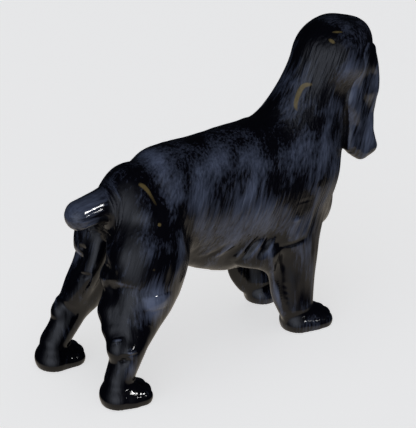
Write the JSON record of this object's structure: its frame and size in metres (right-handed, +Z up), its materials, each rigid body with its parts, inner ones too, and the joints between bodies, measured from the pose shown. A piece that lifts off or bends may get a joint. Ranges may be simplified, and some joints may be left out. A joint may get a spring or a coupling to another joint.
{
  "type": "dog figurine",
  "caption": "Standing glazed china spaniel with a docked tail and long hanging ears, head turned to its left; a hollow slip-cast ornament that rests on its paws.",
  "frame": {"origin": "centre of the bounding box, at the height of the surface that the paws stand on", "axes": "+Z up, the dog faces along -Y, its left side is towards +X"},
  "size_m": [0.0734, 0.2036, 0.1621],
  "materials": {
    "glaze": "high gloss, brushed ink blue-black glaze"
  },
  "bodies": {
    "root": {"trunk": "glaze", "head": "glaze", "ear_right": "glaze", "ear_left": "glaze", "tail": "glaze", "foreleg_right": "glaze", "hind_leg_right": "glaze", "foreleg_left": "glaze", "hind_leg_left": "glaze"}
  },
  "joints": []
}
